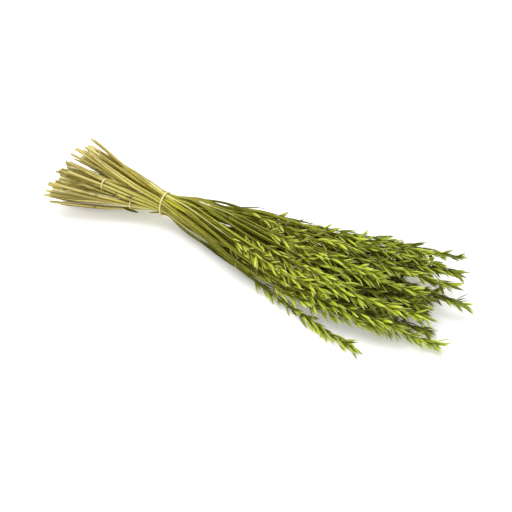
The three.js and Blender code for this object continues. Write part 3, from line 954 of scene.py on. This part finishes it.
TEMPLATE_RANDOM = np.random.default_rng(SEED)
TEMPLATES = [spikelet_template(TEMPLATE_RANDOM) for _ in range(TEMPLATE_COUNT)]
THIN_PART_END = 60  # from the tip: a stalk's thinnest place isn't past this
STALK_SHADES = 0.5  # the spread of their shades
LEAF_SEEDS = 100  # keeps the leaves' random numbers apart from the stalks'


def bands_round(route):
    """The X of each CAD band whose loop this stalk passes through."""
    found = []
    for name in BANDS:
        low, high = (np.array(corner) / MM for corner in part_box(name))
        x = (low[0] + high[0]) / 2
        off = (route.at(x)[0] - (low + high) / 2)[1:] / ((high - low) / 2)[1:]
        if np.linalg.norm(off) < 1:
            found.append(x)
    return found


def head_start(route):
    """Where a stalk's CAD solid, past its thinnest place, has grown to a head's radius."""
    before_tip = route.x < route.x[-1] - THIN_PART_END
    thin = int(np.argmin(np.where(before_tip, route.radii, np.inf)))
    beside = slice(thin, thin + 2)
    return float(np.interp(HEAD_FROM_RADIUS, route.radii[beside], route.x[beside]))


def make_stalk(node_name, route, crowd, materials):
    random = np.random.default_rng([SEED, int(node_name.split("_")[1])])
    tip = route.x[-1]
    head_from = head_start(route)
    shade = float(np.clip(random.normal(0, STALK_SHADES), -1, 1))
    batch = Batch()
    add_straw(batch, route, head_from, tip - TERMINAL_ROOM, shade, random)
    band_places = bands_round(route)
    add_shreds_to_cut(batch, route, min(band_places), random)
    add_shreds_to_head(batch, route, max(band_places), random)
    add_shreds_in_head(batch, route, head_from, random)
    add_head(batch, route, head_from, tip, shade, crowd, random)
    stalk = mesh_object("oat_" + node_name, batch, materials)
    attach(stalk, "root")
    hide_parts(node_name)


def make_leaf(node_name, material):
    random = np.random.default_rng([SEED, LEAF_SEEDS + int(node_name.split("_")[1])])
    batch = Batch()
    add_leaf(batch, rings_of(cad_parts[node_name]), random)
    leaf = mesh_object("oat_" + node_name, batch, [material])
    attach(leaf, "root")
    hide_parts(node_name)


def make_band(node_name, material):
    batch = Batch()
    loop = band_loop(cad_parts[node_name])
    add_elastic(batch, loop, BAND_WIDTH, BAND_THICKNESS)
    if node_name == "neck_band":
        add_knot(batch, loop)
    band = mesh_object("elastic_" + node_name, batch, [material])
    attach(band, "root")
    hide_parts(node_name)


def make_leaf_kinds():
    """Each leaf's material, by its node."""
    bright, bright_edge, bright_root = (0.46, 0.42, 0.008), (0.36, 0.36, 0.015), (0.4, 0.37, 0.02)
    green, pale_green, tan = (0.085, 0.11, 0.005), (0.16, 0.185, 0.012), (0.34, 0.30, 0.025)
    kinds = {
        "leaf_1": leaf_material("leaf_bright", bright, bright_edge, bright_root),
        "leaf_5": leaf_material("leaf_scrap", green, pale_green, green),
        "leaf_2": leaf_material("leaf_dark", green, pale_green, tan),
    }
    kinds["leaf_6"] = kinds["leaf_5"]
    kinds["leaf_3"] = kinds["leaf_4"] = kinds["leaf_2"]
    return kinds


def make_bundle():
    stalk_materials = [straw_material(), glume_material(), floret_material(), shred_material()]
    names = sorted(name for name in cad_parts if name.startswith("stalk"))
    routes = {name: Route(rings_of(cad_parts[name])) for name in names}
    crowd = Crowd(list(routes.values()))
    leaf_kinds = make_leaf_kinds()
    elastic = elastic_material()
    for name in sorted(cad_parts):
        if name.startswith("stalk"):
            make_stalk(name, routes[name], crowd, stalk_materials)
        elif name.startswith("leaf"):
            make_leaf(name, leaf_kinds[name])
        else:
            make_band(name, elastic)


# ---------- The studio ----------

FLOOR_SIZE = 12
FLOOR_GREY = 0.9
FLOOR_GLOW = 0.25
SKY_STRENGTH = 0.75
LENS = 80
CAMERA_DISTANCE = 1.8
CAMERA_ANGLE = (25, 45)  # azimuth and elevation
LOOK_AT = Vector((0.1719, -0.0207, -0.0292))  # from the middle of the neck band
KEY_LIGHT = {"azimuth": -130, "elevation": 66, "distance": 2.2, "size": 1.8, "power": 42}

def make_floor():
    bpy.ops.mesh.primitive_plane_add(size=FLOOR_SIZE)
    floor = bpy.context.object
    floor.name = "floor"
    n = Nodes("floor")
    n.bsdf.inputs["Base Color"].default_value = (*[FLOOR_GREY] * 3, 1)
    n.bsdf.inputs["Roughness"].default_value = 0.9
    n.bsdf.inputs["Emission Color"].default_value = (1, 1, 1, 1)
    n.bsdf.inputs["Emission Strength"].default_value = FLOOR_GLOW
    floor.data.materials.append(n.material)


def add_light(name, azimuth, elevation, distance, size, power):
    """A square soft light that faces the bunch. Azimuth 0 is on the -Y side."""
    data = bpy.data.lights.new(name, "AREA")
    data.shape, data.size, data.energy = "SQUARE", size, power
    light = bpy.data.objects.new(name, data)
    bpy.context.scene.collection.objects.link(light)
    light.location = direction_to(azimuth, elevation) * distance
    light.rotation_euler = (-light.location).to_track_quat("-Z", "Y").to_euler()


def direction_to(azimuth, elevation):
    a, e = math.radians(azimuth), math.radians(elevation)
    return Vector((math.sin(a) * math.cos(e), -math.cos(a) * math.cos(e), math.sin(e)))


def make_camera():
    low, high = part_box("neck_band")
    target = (low + high) / 2 + LOOK_AT
    data = bpy.data.cameras.new("camera")
    data.lens = LENS
    camera = bpy.data.objects.new("camera", data)
    bpy.context.scene.collection.objects.link(camera)
    camera.location = target + CAMERA_DISTANCE * direction_to(*CAMERA_ANGLE)
    camera.rotation_euler = (target - camera.location).to_track_quat("-Z", "Y").to_euler()
    bpy.context.scene.camera = camera


def make_studio():
    scene = bpy.context.scene
    scene.world = scene.world or bpy.data.worlds.new("studio")
    scene.world.use_nodes = True
    background = scene.world.node_tree.nodes["Background"]
    background.inputs["Color"].default_value = (1, 1, 1, 1)
    background.inputs["Strength"].default_value = SKY_STRENGTH
    scene.view_settings.view_transform = "Standard"
    make_floor()
    make_camera()
    add_light("key", **KEY_LIGHT)


make_studio()
make_bundle()
